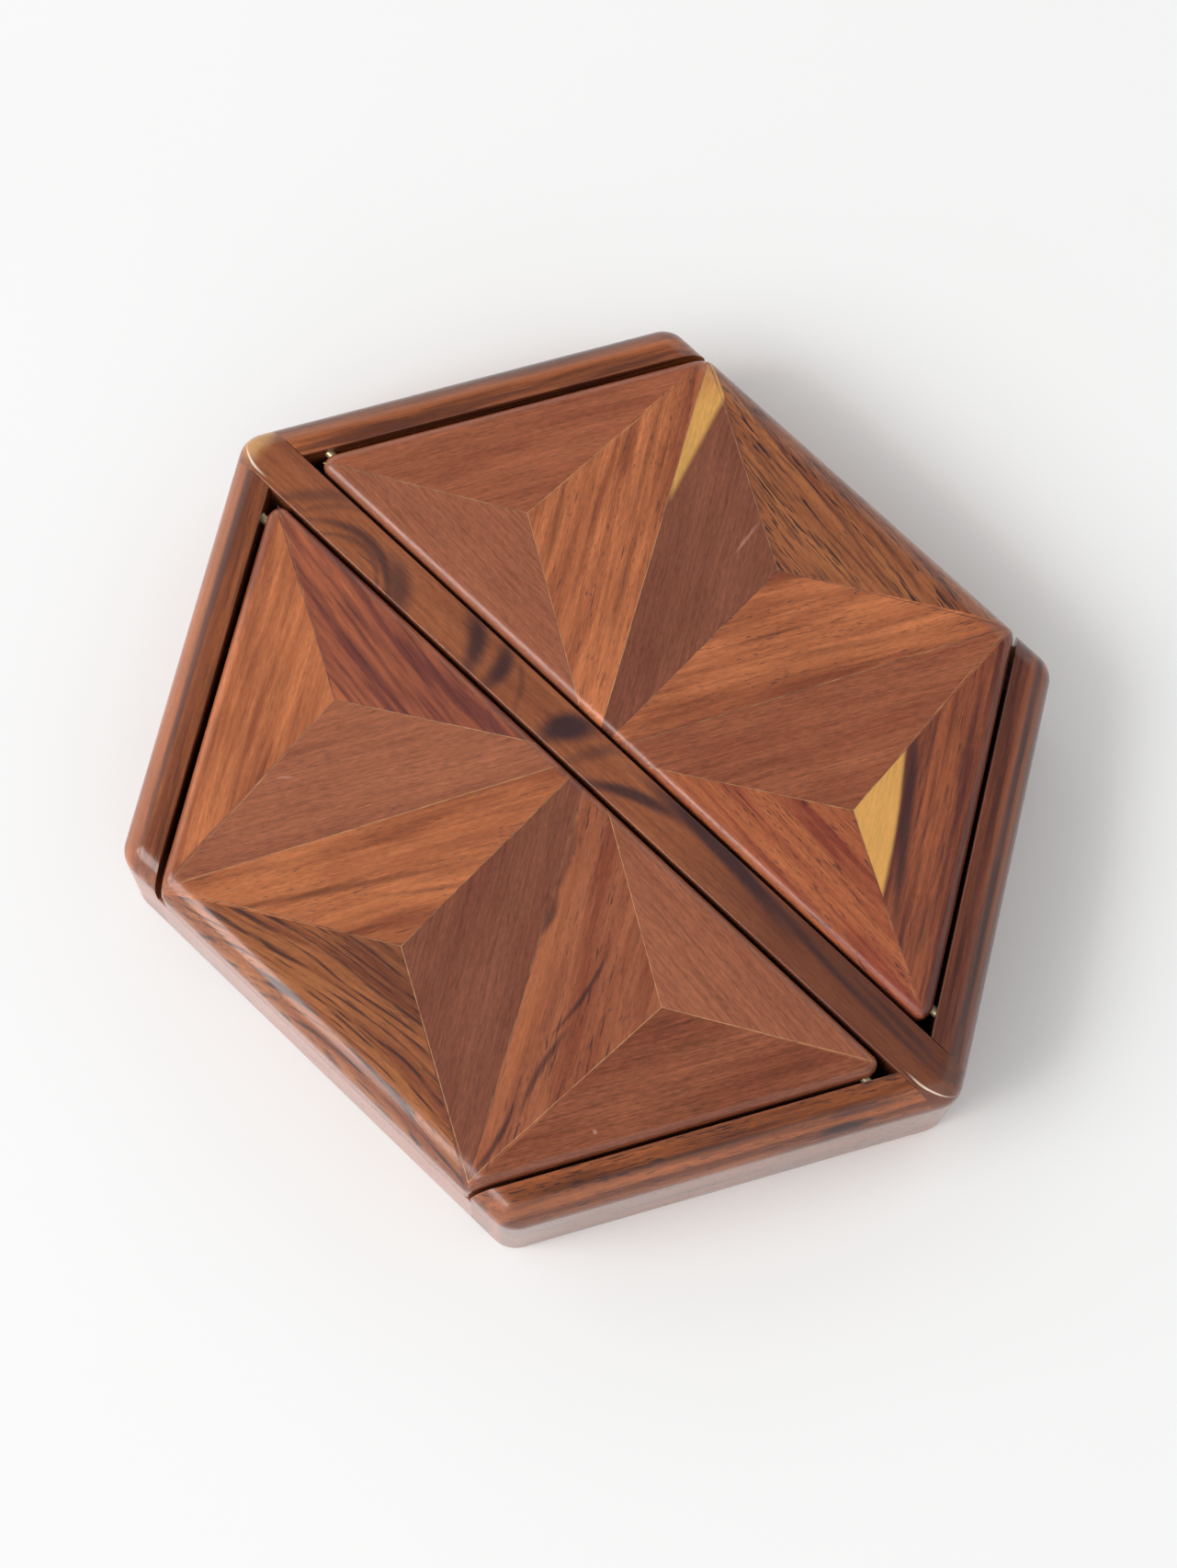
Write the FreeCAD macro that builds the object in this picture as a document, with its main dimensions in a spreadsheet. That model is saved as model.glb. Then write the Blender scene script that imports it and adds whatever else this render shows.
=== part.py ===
# Six-sided wooden box with two inlaid lids on pivot pins.
#
# Frame: millimetres, +Z up, origin at the centre of the underside. The divider
# bar runs along X; lid 1 lies on the +Y side of it and lid 2 on the -Y side.
# All six corners turn through the same angle, so every slanted wall line is
#     x = half_width - y * tan(30) - inset / cos(30)
# where inset is measured square to the wall's outer face.
import FreeCAD, Part
import math
import os
import Sketcher

doc = FreeCAD.newDocument("inlaid_box")
V = FreeCAD.Vector

# Driving dimensions: alias, value, meaning.
DIMENSIONS = (
    ("half_width", 140.0, "centre to the outer corner at each end of the divider"),
    ("half_depth", 112.1, "centre to the outer face of each front stave"),
    ("body_height", 46.0, "underside to the top of the rails and the divider"),
    ("divider_width", 13.5, "thickness of the divider bar"),
    ("rail_thickness", 12.0, "thickness of the four side rails"),
    ("stave_thickness", 12.0, "thickness of the two front staves"),
    ("corner_radius", 8.5, "upright outer corners, in plan"),
    ("outer_round", 8.0, "round-over along the outer top edge"),
    ("base_ease", 1.0, "easing of the bottom edge"),
    ("arris_ease", 0.5, "easing of the inner top arrises"),
    ("panel_thickness", 6.0, "base panel, let into the walls"),
    ("panel_inset", 6.0, "outer face to the edge of the base panel"),
    ("liner_thickness", 1.0, "felt on the floor of each compartment"),
    ("liner_gap", 0.3, "felt to the walls"),
    ("lid_thickness", 16.0, "inlay and core together"),
    ("inlay_thickness", 8.5, "solid wood facets of the lid"),
    ("lid_rise", 1.2, "top of the lid above the rails"),
    ("lid_seat_gap", 0.3, "lid to the top of the front stave"),
    ("divider_gap", 1.2, "lid to the divider"),
    ("rail_gap", 1.5, "lid to each side rail, square to the rail"),
    ("lid_shift", 0.4, "both lids stand this far toward +X, within the play along their pins"),
    ("lid_round", 3.0, "rounded top edge of the lid, front edge apart"),
    ("tip_cut", 2.8, "length taken off each acute corner of a lid, along X"),
    ("tip_round", 3.15, "upright edges of the cut corners"),
    ("tip_relief", 1.8, "further cut below the pin, along X"),
    ("relief_below_axis", 0.9, "top of that cut, below the pin's axis"),
    ("core_inset", 0.3, "core set back from the lid's ends"),
    ("core_setback", 24.0, "core set back from the pivot axis, so that the thick part lifts clear"),
    ("axis_depth", 13.7, "pivot axis from the box's middle plane"),
    ("axis_below_top", 5.4, "pivot axis below the lid's top"),
    ("pin_diameter", 2.6, "brass pivot pins"),
    ("pin_grip", 8.0, "pin inside the rail"),
    ("pin_reach", 8.0, "pin inside the lid"),
    ("pin_clearance", 0.05, "radial clearance of the pin in the lid"),
    ("pin_end_gap", 0.3, "bore past the inner end of the pin"),
    ("node_x", 63.3, "inlay node of the outer fans, along X"),
    ("node_y", 39.0, "inlay node of the outer fans, along Y"),
    ("middle_node_y", 76.5, "inlay node of the middle fan, along Y"),
    ("overcut", 5.0, "how far cutting shapes run past what they cut"),
    ("relief_block", 20.0, "sides of the block that cuts the tip relief"),
)

SAME = 1e-6  # two coordinates this close are the same
BEYOND = 1.1  # a facet's seam line runs a tenth past the corner it aims at

sheet = doc.addObject("Spreadsheet::Sheet", "dims")
for row, (alias, number, meaning) in enumerate(DIMENSIONS, start=1):
    sheet.set(f"A{row}", alias)
    sheet.set(f"B{row}", str(number))
    sheet.setAlias(f"B{row}", alias)
    sheet.set(f"C{row}", meaning)
doc.recompute()

# Heights and distances that several pieces share, as expressions on the sheet.
HALF_DIVIDER = "dims.divider_width / 2"
LID_TOP = "(dims.body_height + dims.lid_rise)"
LID_UNDERSIDE = f"({LID_TOP} - dims.lid_thickness)"
INLAY_UNDERSIDE = f"({LID_TOP} - dims.inlay_thickness)"
AXIS_HEIGHT = f"({LID_TOP} - dims.axis_below_top)"
LID_INNER_EDGE = f"({HALF_DIVIDER} + dims.divider_gap)"
LID_INSET = "(dims.rail_thickness + dims.rail_gap)"


def wall_x(depth, inset):
    """X of a slanted wall line at a distance from the middle plane."""
    return f"(dims.half_width - ({depth}) * tan(30) - ({inset}) / cos(30))"


def origin_plane(body, role):
    return next(item for item in body.Origin.OriginFeatures if item.Role == role)


def outline(body, corners, height):
    """Closed sketch through the corners, each a pair of expressions, at a height."""
    sketch = body.newObject("Sketcher::SketchObject", body.Name + "_outline")
    sketch.AttachmentSupport = [(origin_plane(body, "XY_Plane"), "")]
    sketch.MapMode = "FlatFace"
    sketch.setExpression("AttachmentOffset.Base.z", height)
    count = len(corners)
    turn = 2 * math.pi / count
    start = [V(math.cos(turn * i), math.sin(turn * i), 0) for i in range(count)]
    for i in range(count):
        sketch.addGeometry(Part.LineSegment(start[i], start[(i + 1) % count]), False)
    for i in range(count):
        sketch.addConstraint(Sketcher.Constraint("Coincident", i, 2, (i + 1) % count, 1))
    for i, (across, depth) in enumerate(corners):
        place_corner(sketch, "DistanceX", i, start[i].x, across)
        place_corner(sketch, "DistanceY", i, start[i].y, depth)
    return sketch


def place_corner(sketch, direction, line, first_value, expression):
    """Drive one coordinate of the line's start point from the sheet."""
    constraint = Sketcher.Constraint(direction, -1, 1, line, 1, first_value)
    index = sketch.addConstraint(constraint)
    sketch.setExpression(f"Constraints[{index}]", expression)


def prism(label, corners, bottom, height):
    """Body with one pad over a polygon."""
    body = doc.addObject("PartDesign::Body", label)
    sketch = outline(body, corners, bottom)
    pad = body.newObject("PartDesign::Pad", label + "_pad")
    pad.Profile = sketch
    pad.setExpression("Length", height)
    doc.recompute()
    return body


def round_edges(body, keep, radius):
    """Fillet the edges of the body's tip whose middle point passes the test."""
    base = body.Tip
    names = [f"Edge{i}" for i, edge in enumerate(base.Shape.Edges, start=1) if keep(edge)]
    if not names:
        raise RuntimeError(f"{body.Name}: no edge to round")
    fillet = body.newObject("PartDesign::Fillet", f"{body.Name}_round{len(body.Group)}")
    fillet.Base = (base, names)
    fillet.setExpression("Radius", radius)
    doc.recompute()


def box(label, size, corner):
    block = doc.addObject("Part::Box", label)
    for name, expression in zip(("Length", "Width", "Height"), size):
        block.setExpression(name, expression)
    for axis, expression in zip("xyz", corner):
        block.setExpression(f"Placement.Base.{axis}", expression)
    return block


def rod(label, radius, length, start):
    """Cylinder along +X from a start point."""
    cylinder = doc.addObject("Part::Cylinder", label)
    cylinder.setExpression("Radius", radius)
    cylinder.setExpression("Height", length)
    cylinder.Placement = FreeCAD.Placement(V(), FreeCAD.Rotation(V(0, 1, 0), 90))
    for axis, expression in zip("xyz", start):
        cylinder.setExpression(f"Placement.Base.{axis}", expression)
    return cylinder


def common(label, base, tool):
    result = doc.addObject("Part::Common", label)
    result.Base = base
    result.Tool = tool
    return result


def cut(label, base, tool):
    result = doc.addObject("Part::Cut", label)
    result.Base = base
    result.Tool = tool
    return result


def is_upright(edge):
    first, last = edge.Vertexes[0], edge.Vertexes[-1]
    return abs(first.X - last.X) < SAME and abs(first.Y - last.Y) < SAME


def is_at(edge, height):
    return all(abs(vertex.Z - height) < SAME for vertex in edge.Vertexes)


def mirrored(corners, side_x, side_y):
    """The same corners on another side of the box."""
    return [(f"{side_x} * ({x})", f"{side_y} * ({y})") for x, y in corners]


def shifted(corners):
    """The same corners where the lids stand, a little toward +X."""
    return [(f"({x}) + dims.lid_shift", y) for x, y in corners]


def envelope():
    """The outside of the closed body: all its walls are cut to this shape."""
    front = wall_x("dims.half_depth", "0")
    corners = [("dims.half_width", "0"), (front, "dims.half_depth"),
               (f"-{front}", "dims.half_depth"), ("-dims.half_width", "0"),
               (f"-{front}", "-dims.half_depth"), (front, "-dims.half_depth")]
    body = prism("body_envelope", corners, "0", "dims.body_height")
    round_edges(body, is_upright, "dims.corner_radius")
    round_edges(body, lambda edge: is_at(edge, sheet.body_height), "dims.outer_round")
    round_edges(body, lambda edge: is_at(edge, 0), "dims.base_ease")
    return body


def base_panel():
    """Six-sided board let into the underside of every wall."""
    front = wall_x("dims.half_depth - dims.panel_inset", "dims.panel_inset")
    depth = "(dims.half_depth - dims.panel_inset)"
    tip = wall_x("0", "dims.panel_inset")
    corners = [(tip, "0"), (front, depth), (f"-{front}", depth),
               (f"-{tip}", "0"), (f"-{front}", f"-{depth}"), (front, f"-{depth}")]
    return prism("base_panel", corners, "0", "dims.panel_thickness")


def divider_bar(outside, panel):
    """Full-height bar along X whose two ends are corners of the box."""
    reach = "(dims.half_width + dims.overcut)"
    corners = [(reach, HALF_DIVIDER), (f"-{reach}", HALF_DIVIDER),
               (f"-{reach}", f"-({HALF_DIVIDER})"), (reach, f"-({HALF_DIVIDER})")]
    stock = prism("divider_stock", corners, "0", "dims.body_height")
    round_edges(stock, lambda edge: is_at(edge, sheet.body_height) and edge.Length > sheet.half_width,
                "dims.arris_ease")
    return cut("divider_bar", common("divider_shaped", stock, outside), panel)


def side_rail(number, side_x, side_y, outside, panel, pin):
    """Full-height wall on a slanted side, butted against the divider."""
    beyond = "(dims.half_depth + dims.overcut)"
    corners = [(wall_x(HALF_DIVIDER, "dims.rail_thickness"), HALF_DIVIDER),
               (wall_x(HALF_DIVIDER, "-dims.overcut"), HALF_DIVIDER),
               (wall_x(beyond, "-dims.overcut"), beyond),
               (wall_x(beyond, "dims.rail_thickness"), beyond)]
    stock = prism(f"rail_stock_{number}", mirrored(corners, side_x, side_y), "0", "dims.body_height")
    middle_x = stock.Shape.BoundBox.Center.x

    def inner_arris(edge):
        is_long = edge.Length > sheet.half_depth
        return is_at(edge, sheet.body_height) and is_long and side_x * (edge.CenterOfMass.x - middle_x) < 0

    round_edges(stock, inner_arris, "dims.arris_ease")
    shaped = common(f"rail_shaped_{number}", stock, outside)
    rebated = cut(f"rail_rebated_{number}", shaped, panel)
    return cut(f"side_rail_{number}", rebated, pin)


def front_stave(number, side_y, outside, panel):
    """Low wall under the front edge of a lid, between the ends of two rails."""
    inner = "(dims.half_depth - dims.stave_thickness)"
    wide = wall_x("dims.half_depth", "dims.rail_thickness")
    narrow = wall_x(inner, "dims.rail_thickness")
    corners = [(wide, "dims.half_depth"), (f"-{wide}", "dims.half_depth"),
               (f"-{narrow}", inner), (narrow, inner)]
    height = f"{LID_UNDERSIDE} - dims.lid_seat_gap"
    stock = prism(f"stave_stock_{number}", mirrored(corners, 1, side_y), "0", height)
    top = sheet.body_height + sheet.lid_rise - sheet.lid_thickness - sheet.lid_seat_gap

    def front_arris(edge):
        return is_at(edge, top) and abs(abs(edge.CenterOfMass.y) - sheet.half_depth) < SAME

    round_edges(stock, front_arris, "dims.arris_ease")
    return cut(f"front_stave_{number}", common(f"stave_shaped_{number}", stock, outside), panel)


def hinge_pin(number, side_x, side_y):
    """Brass pin from the rail into the end of the lid, along X."""
    rail_face = wall_x("dims.axis_depth", "dims.rail_thickness")
    lid_face = wall_x("dims.axis_depth", LID_INSET)
    inner_end = f"({lid_face} - dims.pin_reach)"
    outer_end = f"({rail_face} + dims.pin_grip)"
    start = inner_end if side_x > 0 else f"-{outer_end}"
    place = (start, f"{side_y} * dims.axis_depth", AXIS_HEIGHT)
    return rod(f"hinge_pin_{number}", "dims.pin_diameter / 2", f"{outer_end} - {inner_end}", place)


def pin_bore(label, side_x, side_y):
    """Running bore for the pin, open at the lid's end."""
    lid_face = wall_x("dims.axis_depth", LID_INSET)
    length = "dims.pin_reach + 2 * dims.overcut"
    deep = f"({lid_face} - dims.pin_reach - dims.pin_end_gap)"
    start = deep if side_x > 0 else f"-({deep} + {length})"
    place = (start, f"{side_y} * dims.axis_depth", AXIS_HEIGHT)
    return rod(label, "dims.pin_diameter / 2 + dims.pin_clearance", length, place)


def tip_relief(label, side_x, side_y):
    """Block that cuts the underside of an acute corner, so that it swings past the rail."""
    tip = f"({wall_x(LID_INNER_EDGE, LID_INSET)} - dims.tip_cut - dims.tip_relief)"
    width = "dims.relief_block"
    corner_x = f"{tip} + dims.lid_shift" if side_x > 0 else f"dims.lid_shift - ({tip} + {width})"
    corner_y = "0" if side_y > 0 else f"-{width}"
    bottom = f"({INLAY_UNDERSIDE} - dims.overcut)"
    height = f"{AXIS_HEIGHT} - dims.relief_below_axis - {bottom}"
    return box(label, (width, width, height), (corner_x, corner_y, bottom))


def lid_blank(number, side_y):
    """The whole lid as one block with its rounded edges, bores and corner cuts."""
    tip = f"({wall_x(LID_INNER_EDGE, LID_INSET)} - dims.tip_cut)"
    tip_y = f"({LID_INNER_EDGE} + dims.tip_cut / tan(30))"
    front = wall_x("dims.half_depth", LID_INSET)
    corners = [(tip, LID_INNER_EDGE), (tip, tip_y), (front, "dims.half_depth"),
               (f"-{front}", "dims.half_depth"), (f"-{tip}", tip_y), (f"-{tip}", LID_INNER_EDGE)]
    stand = shifted(mirrored(corners, 1, side_y))
    body = prism(f"lid_blank_{number}", stand, LID_UNDERSIDE, "dims.lid_thickness")
    top = sheet.body_height + sheet.lid_rise

    def on_front(edge):
        return abs(abs(edge.CenterOfMass.y) - sheet.half_depth) < SAME

    def at_tip(edge):
        return is_upright(edge) and abs(edge.CenterOfMass.y) < sheet.half_depth / 2

    def behind_front(edge):
        return is_at(edge, top) and abs(edge.CenterOfMass.y) < sheet.half_depth - 2 * sheet.outer_round

    round_edges(body, at_tip, "dims.tip_round")
    round_edges(body, lambda edge: is_at(edge, top) and on_front(edge), "dims.outer_round")
    round_edges(body, behind_front, "dims.lid_round")
    tools = doc.addObject("Part::MultiFuse", f"lid_cuts_{number}")
    tools.Shapes = [pin_bore(f"bore_{number}_right", 1, side_y), pin_bore(f"bore_{number}_left", -1, side_y),
                    tip_relief(f"relief_{number}_right", 1, side_y),
                    tip_relief(f"relief_{number}_left", -1, side_y)]
    return cut(f"lid_shaped_{number}", body, tools)


def lid_core(number, side_y, blank):
    """Board under the inlay, set back so that it clears the rails as the lid turns."""
    inset = f"({LID_INSET} + dims.core_inset)"
    inner = "(dims.axis_depth + dims.core_setback)"
    beyond = "(dims.half_depth + dims.overcut)"
    corners = [(wall_x(inner, inset), inner), (wall_x(beyond, inset), beyond),
               (f"-{wall_x(beyond, inset)}", beyond), (f"-{wall_x(inner, inset)}", inner)]
    bottom = f"{LID_UNDERSIDE} - dims.overcut"
    height = "dims.lid_thickness - dims.inlay_thickness + dims.overcut"
    stock = prism(f"core_stock_{number}", shifted(mirrored(corners, 1, side_y)), bottom, height)
    return common(f"lid_{number}_core", blank, stock)


def past(start, end):
    """A point a little past the end of a line."""
    return tuple(f"({a} + {BEYOND} * ({b} - {a}))" for a, b in zip(start, end))


def facet_outlines():
    """Nine outlines over half the box: three fans of three about the box's centre."""
    centre = ("0", "0")
    node = ("dims.node_x", "dims.node_y")
    middle = ("0", "dims.middle_node_y")
    tip = (wall_x(LID_INNER_EDGE, LID_INSET), LID_INNER_EDGE)
    front = (wall_x("dims.half_depth", LID_INSET), "dims.half_depth")
    far_tip = past(node, tip)

    def left(point):
        return (f"-{point[0]}", point[1])

    ahead = past(middle, front)
    return (
        (left(node), left(far_tip), left(past(node, front))),
        (left(node), left(front), centre),
        (left(node), centre, left((far_tip[0], "0")), left(far_tip)),
        (middle, left(ahead), ahead),
        (middle, left(front), centre),
        (middle, front, centre),
        (node, far_tip, past(node, front)),
        (node, front, centre),
        (node, centre, (far_tip[0], "0"), far_tip),
    )


def lid_facets(number, side_y, blank):
    """The inlaid facets of one lid: pieces of the blank above the core."""
    facets = []
    for place, corners in enumerate(facet_outlines(), start=1):
        turned = mirrored(corners, side_y, side_y)
        height = "dims.inlay_thickness + dims.overcut"
        stock = prism(f"facet_stock_{number}_{place}", turned, INLAY_UNDERSIDE, height)
        facets.append(common(f"lid_{number}_facet_{place}", blank, stock))
    return facets


def floor_liner(number, side_y):
    """Felt on the floor of one compartment."""
    inner = f"({HALF_DIVIDER} + dims.liner_gap)"
    outer = "(dims.half_depth - dims.stave_thickness - dims.liner_gap)"
    inset = "(dims.rail_thickness + dims.liner_gap)"
    corners = [(wall_x(inner, inset), inner), (wall_x(outer, inset), outer),
               (f"-{wall_x(outer, inset)}", outer), (f"-{wall_x(inner, inset)}", inner)]
    return prism(f"floor_liner_{number}", mirrored(corners, 1, side_y),
                 "dims.panel_thickness", "dims.liner_thickness")


def build():
    """Every piece of the box, in the order in which it would be glued up."""
    outside = envelope()
    panel = base_panel()
    pieces = [panel, divider_bar(outside, panel)]
    sides = ((1, 1), (-1, 1), (-1, -1), (1, -1))
    for number, (side_x, side_y) in enumerate(sides, start=1):
        pin = hinge_pin(number, side_x, side_y)
        pieces += [side_rail(number, side_x, side_y, outside, panel, pin), pin]
    for number, side_y in enumerate((1, -1), start=1):
        pieces += [front_stave(number, side_y, outside, panel), floor_liner(number, side_y)]
        blank = lid_blank(number, side_y)
        pieces.append(lid_core(number, side_y, blank))
        pieces += lid_facets(number, side_y, blank)
    doc.recompute()
    return pieces


def check(pieces):
    for item in doc.Objects:
        if "Invalid" in item.State or "Error" in item.State:
            raise RuntimeError(f"{item.Name} failed: {item.State}")
    for piece in pieces:
        if piece.Shape.isNull() or not piece.Shape.isValid():
            raise RuntimeError(f"{piece.Label} has no valid shape")
        if len(piece.Shape.Solids) != 1:
            raise RuntimeError(f"{piece.Label} has {len(piece.Shape.Solids)} solids")


pieces = build()
check(pieces)
os.makedirs("parts", exist_ok=True)
for piece in pieces:
    piece.Shape.exportStep(f"parts/{piece.Label}.step")
    size = piece.Shape.BoundBox
    print(f"{piece.Label}: {piece.Shape.Volume / 1000:.2f} cm3, z {size.ZMin:.2f} to {size.ZMax:.2f}")
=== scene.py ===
import math

import bpy
import numpy as np
from bpy.props import FloatProperty, FloatVectorProperty, PointerProperty
from mathutils import Matrix, Vector


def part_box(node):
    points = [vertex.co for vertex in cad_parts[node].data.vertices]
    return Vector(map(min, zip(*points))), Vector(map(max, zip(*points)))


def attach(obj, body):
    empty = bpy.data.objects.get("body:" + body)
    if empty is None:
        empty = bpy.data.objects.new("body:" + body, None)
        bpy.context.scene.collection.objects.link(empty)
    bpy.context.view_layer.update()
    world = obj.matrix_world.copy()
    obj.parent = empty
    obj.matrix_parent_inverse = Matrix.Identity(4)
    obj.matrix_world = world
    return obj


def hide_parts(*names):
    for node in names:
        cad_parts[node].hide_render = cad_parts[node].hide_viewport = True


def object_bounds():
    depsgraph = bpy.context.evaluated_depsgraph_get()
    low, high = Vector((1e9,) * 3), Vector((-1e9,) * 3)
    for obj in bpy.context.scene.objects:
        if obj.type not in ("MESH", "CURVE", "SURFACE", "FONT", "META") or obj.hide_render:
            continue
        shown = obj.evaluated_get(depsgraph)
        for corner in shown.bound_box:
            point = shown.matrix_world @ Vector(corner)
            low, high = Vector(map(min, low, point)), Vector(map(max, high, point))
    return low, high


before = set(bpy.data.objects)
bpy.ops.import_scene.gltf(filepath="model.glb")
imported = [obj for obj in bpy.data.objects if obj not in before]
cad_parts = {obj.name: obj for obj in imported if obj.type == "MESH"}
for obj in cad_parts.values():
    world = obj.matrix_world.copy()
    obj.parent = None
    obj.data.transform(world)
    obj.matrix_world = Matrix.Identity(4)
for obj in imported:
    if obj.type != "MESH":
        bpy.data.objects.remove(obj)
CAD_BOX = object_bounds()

bl_info = {
    "name": "Inlaid wooden box",
    "version": (1, 0, 0),
    "blender": (4, 5, 0),
    "location": "View3D > Sidebar > Inlaid box",
    "description": "Woods, felt, brass and studio for a six-sided box with two inlaid lids",
    "category": "Object",
}

MM = 0.001
TAN30 = math.tan(math.radians(30))
COS30 = math.cos(math.radians(30))

# Grain directions in plan, degrees from the divider's length.
ALONG = 0.0
RISING = 60.0
FALLING = -60.0

# How far apart in the log two boards are cut, in millimetres.
LOG_STEP = (137.0, 61.0, 29.0)

# The stage's tones: the light that is shown as white, and pairs of a light and how bright it is shown.
WHITE = 1.5
TONES = ((0.7, 0.539), (0.86, 0.71), (1.08, 0.88), (1.28, 0.96))


def hex_colour(text):
    """sRGB hex to linear red, green, blue."""
    parts = [int(text[i:i + 2], 16) / 255 for i in (1, 3, 5)]
    return tuple(c / 12.92 if c <= 0.04045 else ((c + 0.055) / 1.055) ** 2.4 for c in parts)


def colour(label, text, words):
    """A colour setting whose default is an sRGB hex value."""
    return FloatVectorProperty(name=label, description=words, subtype="COLOR", size=3,
                               min=0.0, max=1.0, default=hex_colour(text))


def length(label, millimetres, words):
    """A length setting; its default is given in millimetres."""
    return FloatProperty(name=label, description=words, subtype="DISTANCE", unit="LENGTH",
                         default=millimetres * MM, min=0.0)


def angle(label, degrees, words):
    """An angle setting; its default is given in degrees."""
    return FloatProperty(name=label, description=words, subtype="ANGLE", unit="ROTATION",
                         default=math.radians(degrees))


# ---------------------------------------------------------------- settings

class WoodColours(bpy.types.PropertyGroup):
    """Pale and deep tone of each wood in the box."""
    plain_red_pale: colour("Plain red, pale", "#a15f42", "Pale stripes of the plain reddish facets")
    plain_red_deep: colour("Plain red, deep", "#844630", "Deep stripes of the plain reddish facets")
    orange_pale: colour("Orange, pale", "#bb7047", "Pale stripes of the orange facets")
    orange_deep: colour("Orange, deep", "#82452e", "Deep stripes of the orange facets")
    tan_pale: colour("Tan, pale", "#a06146", "Pale stripes of the tan facets")
    tan_deep: colour("Tan, deep", "#8a5039", "Deep stripes of the tan facets")
    olive_pale: colour("Olive, pale", "#a6673f", "Pale stripes of the streaked facets")
    olive_deep: colour("Olive, deep", "#7c432c", "Deep stripes of the streaked facets")
    plum_pale: colour("Plum, pale", "#85503b", "Pale stripes of the purple-brown facets")
    plum_deep: colour("Plum, deep", "#703d2f", "Deep stripes of the purple-brown facets")
    ember_pale: colour("Ember, pale", "#b06540", "Pale stripes of the fiery facet")
    ember_deep: colour("Ember, deep", "#7e382b", "Deep stripes of the fiery facet")
    striped_pale: colour("Striped, pale", "#975437", "Pale stripes of the dark striped facets")
    striped_deep: colour("Striped, deep", "#5c2f28", "Deep stripes of the dark striped facets")
    rail_pale: colour("Rail, pale", "#743f2e", "Pale stripes of the dark rails")
    rail_deep: colour("Rail, deep", "#41211b", "Deep stripes of the dark rails")
    warm_rail_pale: colour("Warm rail, pale", "#a05a34", "Pale stripes of the lighter rails")
    warm_rail_deep: colour("Warm rail, deep", "#63341f", "Deep stripes of the lighter rails")
    divider_pale: colour("Divider, pale", "#9a5b3a", "Pale stripes of the divider")
    divider_deep: colour("Divider, deep", "#7c432c", "Deep stripes of the divider")
    sapwood: colour("Sapwood", "#cc9a55", "Yellow outer wood of the log")
    shade: colour("Shade", "#4f2b22", "Dark heartwood, in streaks and tight seams")
    ink: colour("Ink line", "#3a2527", "Near-black lines and pores")
    # painted highlight: a pale line like the window's glint on the eased arris at a butt joint
    joint_glint: colour("Glue line", "#e0cdb8", "Dried glue and chipped finish at a butt joint")
    scuff: colour("Scuff", "#c08a78", "A short scratch in the finish")


class BoxSettings(bpy.types.PropertyGroup):
    """Sizes of the seams and the inlay's nodes, and the colours that aren't wood."""
    node_x: length("Outer node, along", 63.3, "Where three outer facets meet, along the divider")
    node_y: length("Outer node, across", 39.0, "Where three outer facets meet, from the middle")
    middle_node_y: length("Middle node", 76.5, "Where three middle facets meet, from the middle")
    edge_round: length("Lid round-over", 3.0, "Rounded top edge beside the rails and the divider")
    front_round: length("Front round-over", 8.0, "Rounded top edge at the front")
    filler_width: length("Filler width", 0.42, "Width of the filled seams between facets")
    filler: colour("Filler", "#b98a5c", "Dried glue and wood dust in the seams")
    felt: colour("Felt", "#3d241c", "Lining on the compartment floors")
    felt_fuzz: colour("Felt fuzz", "#5a382b", "Fibre ends that catch the light")
    brass: colour("Brass", "#cdb887", "Dulled brass of the pivot pins")
    brass_film: colour("Brass film", "#dcd2b2", "Dried lacquer on the pivot pins")


class StageSettings(bpy.types.PropertyGroup):
    """Floor, lights and camera."""
    floor: colour("Floor", "#f6f6f6", "White painted board")
    floor_worn: colour("Worn floor", "#f2f2f1", "Duller places of the white board")
    target_x: FloatProperty(name="Target X", description="Point the camera looks at", unit="LENGTH",
                            default=0.00085)
    target_y: FloatProperty(name="Target Y", description="Point the camera looks at", unit="LENGTH",
                            default=-0.00181)
    target_z: FloatProperty(name="Target Z", description="Point the camera looks at", unit="LENGTH",
                            default=0.0236)
    distance: length("Camera distance", 904.43, "From the target to the camera")
    elevation: angle("Camera elevation", 74.29, "Above the horizon")
    azimuth: angle("Camera azimuth", -51.87, "Direction of the camera, from +X")
    roll: angle("Camera roll", 5.83, "Turn about the line of sight")
    lens: FloatProperty(name="Lens", description="Focal length in millimetres", default=72.26, min=1.0)
    window: FloatProperty(name="Window light", description="Power of the soft key light", unit="POWER",
                          default=23.0, min=0.0)
    window_azimuth: angle("Window azimuth", -116.0, "Direction of the window, from +X")
    window_elevation: angle("Window elevation", 41.0, "Above the horizon")
    room: FloatProperty(name="Room light", description="Strength of the even light of the room",
                        default=1.34, min=0.0)


# ---------------------------------------------------------------- nodes

def new_material(name):
    """A material with no nodes yet."""
    material = bpy.data.materials.new(name)
    material.use_nodes = True
    material.node_tree.nodes.clear()
    return material


def add(tree, kind, inputs, output=0, **settings):
    """Adds a node, gives it its settings, sets or links its inputs, and returns one of its outputs."""
    node = tree.nodes.new("ShaderNode" + kind)
    for key, value in settings.items():
        setattr(node, key, value)
    for socket, value in inputs.items():
        if isinstance(value, bpy.types.NodeSocket):
            tree.links.new(value, node.inputs[socket])
        else:
            node.inputs[socket].default_value = value
    return node.outputs[output] if node.outputs else None


def direction(azimuth, elevation):
    """Unit vector from the object, azimuth from +X and elevation above the horizon."""
    level = math.cos(elevation)
    return Vector((level * math.cos(azimuth), level * math.sin(azimuth), math.sin(elevation)))


def rgba(value):
    """A colour setting as the four numbers that a socket takes."""
    return (*value[:3], 1.0)


# ---------------------------------------------------------------- woods

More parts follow.
